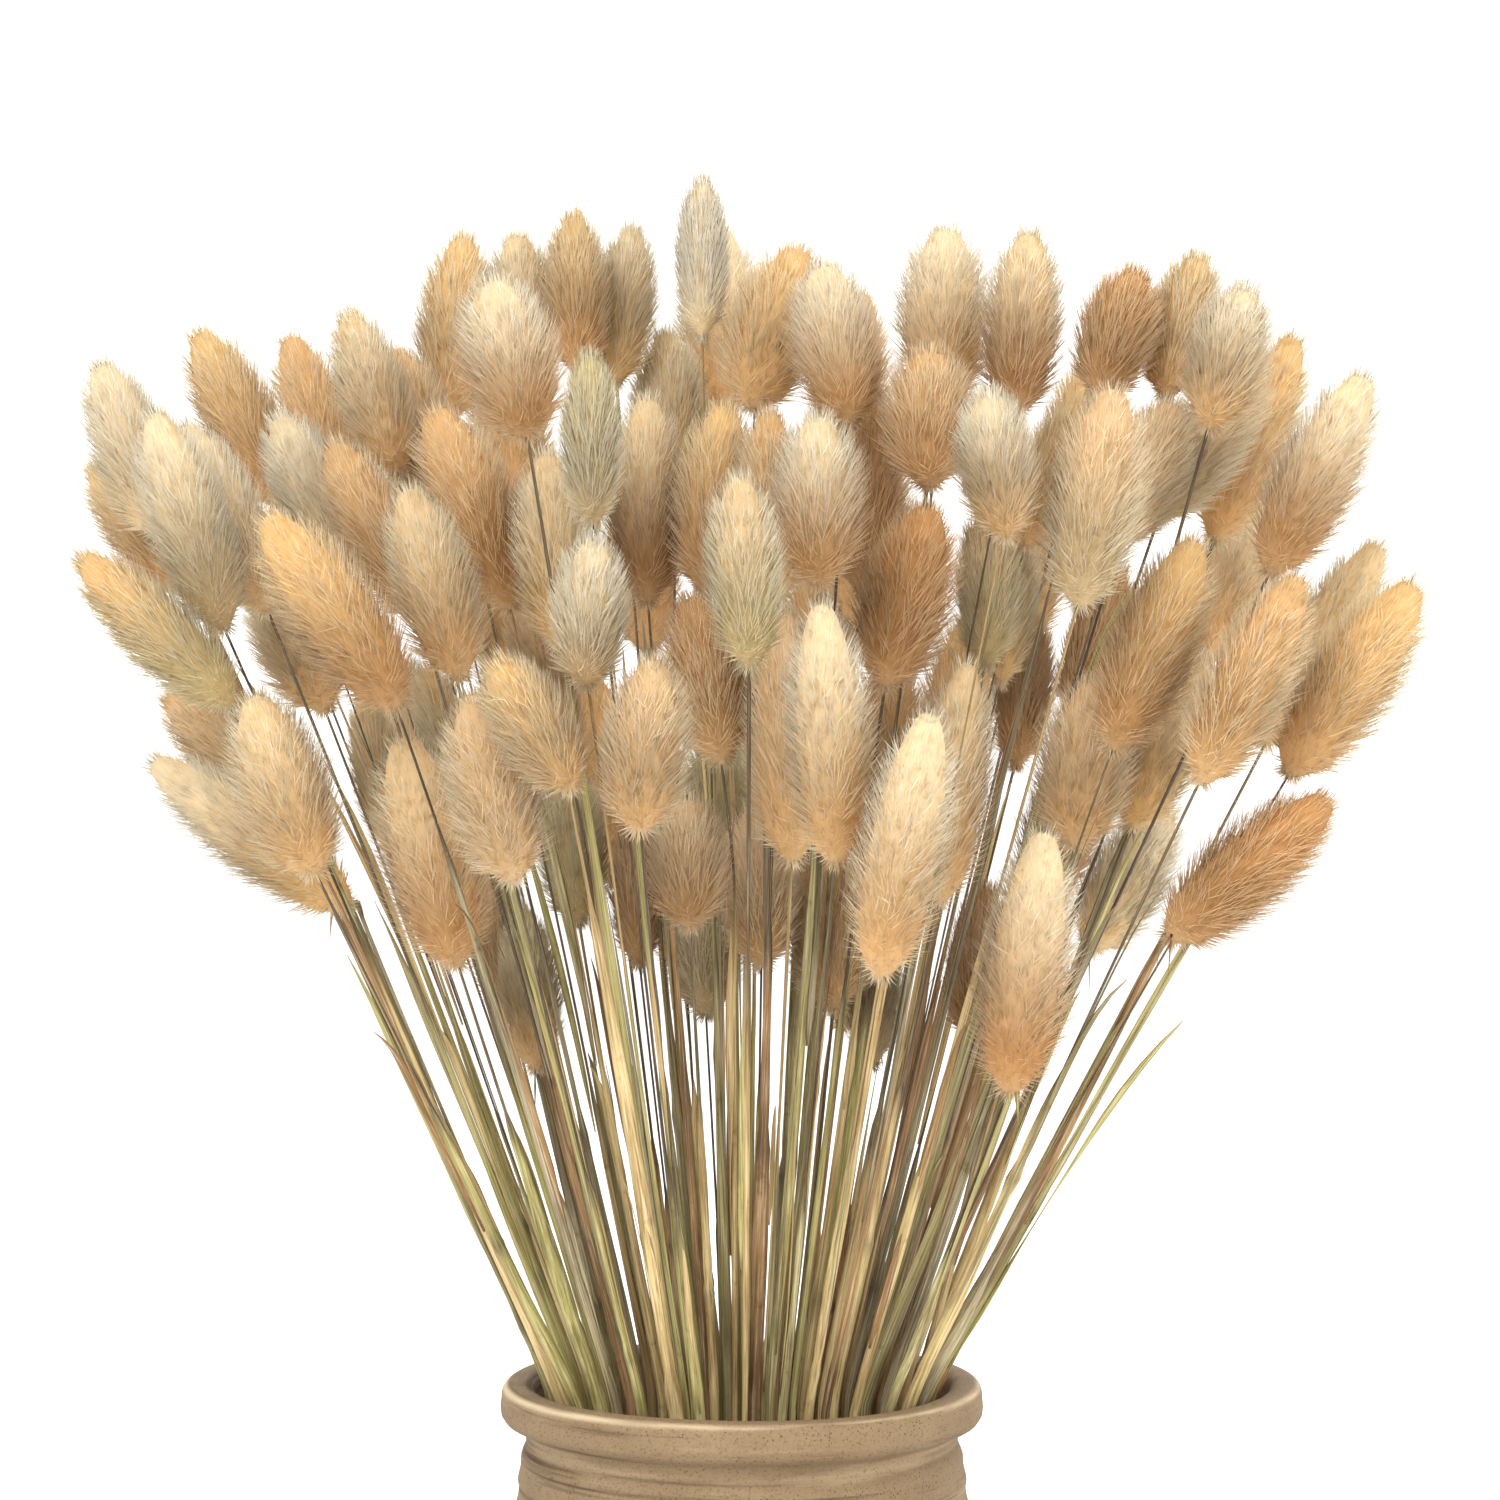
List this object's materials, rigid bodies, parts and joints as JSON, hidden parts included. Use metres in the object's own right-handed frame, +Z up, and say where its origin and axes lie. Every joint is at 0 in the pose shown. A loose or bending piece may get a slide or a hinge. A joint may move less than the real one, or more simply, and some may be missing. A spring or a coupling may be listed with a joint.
{
  "type": "vase of dried bunny tail grass",
  "caption": "Wide-mouthed thrown clay vase filled with a fan of dried bunny tail grass: straw stems and long soft furry heads in cream, tan and brown.",
  "frame": {"origin": "middle of the flat underside of the vase's foot", "axes": "+Z up along the vase's axis, -Y towards the viewer of the picture, +X to the right in the picture"},
  "size_m": [0.3226, 0.2714, 0.4876],
  "materials": {
    "clay": "unglazed matte fired clay, warm beige with fine dark specks and a paler worn lip",
    "grass_cream": "soft dry fur, cream with pale tips",
    "grass_tan": "soft dry fur, golden tan",
    "grass_brown": "soft dry fur, dark brown at its roots",
    "grass_olive": "soft dry fur, grey olive",
    "straw": "dry matte straw, for the stems and leaf scraps of the looks model"
  },
  "bodies": {
    "root": {"vase": "clay", "stalks_01": "grass_cream", "stalks_02": "grass_tan", "stalks_03": "grass_tan", "stalks_04": "grass_cream", "stalks_05": "grass_brown", "stalks_06": "grass_tan", "stalks_07": "grass_tan", "stalks_08": "grass_cream", "stalks_09": "grass_brown", "stalks_10": "grass_tan", "stalks_11": "grass_tan", "stalks_12": "grass_cream", "stalks_13": "grass_tan", "stalks_14": "grass_olive", "stalks_15": "grass_cream", "stalks_16": "grass_brown", "stalks_17": "grass_olive", "stalks_18": "grass_tan", "stalks_19": "grass_tan", "stalks_20": "grass_brown", "stalks_21": "grass_cream", "stalks_22": "grass_tan", "stalks_23": "grass_brown", "stalks_24": "grass_brown", "stalks_25": "grass_cream", "stalks_26": "grass_tan", "stalks_27": "grass_cream", "stalks_28": "grass_brown", "stalks_29": "grass_cream", "stalks_30": "grass_olive", "stalks_31": "grass_tan", "stalks_32": "grass_brown", "stalks_33": "grass_brown", "stalks_34": "grass_tan", "stalks_35": "grass_cream", "stalks_36": "grass_tan", "stalks_37": "grass_cream", "stalks_38": "grass_tan", "stalks_39": "grass_tan", "stalks_40": "grass_tan", "stalks_41": "grass_cream", "stalks_42": "grass_olive", "stalks_43": "grass_brown", "stalks_44": "grass_brown", "stalks_45": "grass_olive", "stalks_46": "grass_olive", "stalks_47": "grass_brown", "stalks_48": "grass_tan", "stalks_49": "grass_tan", "stalks_50": "grass_tan", "stalks_51": "grass_cream", "stalks_52": "grass_tan", "stalks_53": "grass_tan", "stalks_54": "grass_cream", "stalks_55": "grass_cream", "stalks_56": "grass_cream", "stalks_57": "grass_cream", "stalks_58": "grass_tan", "stalks_59": "grass_brown"}
  },
  "joints": []
}
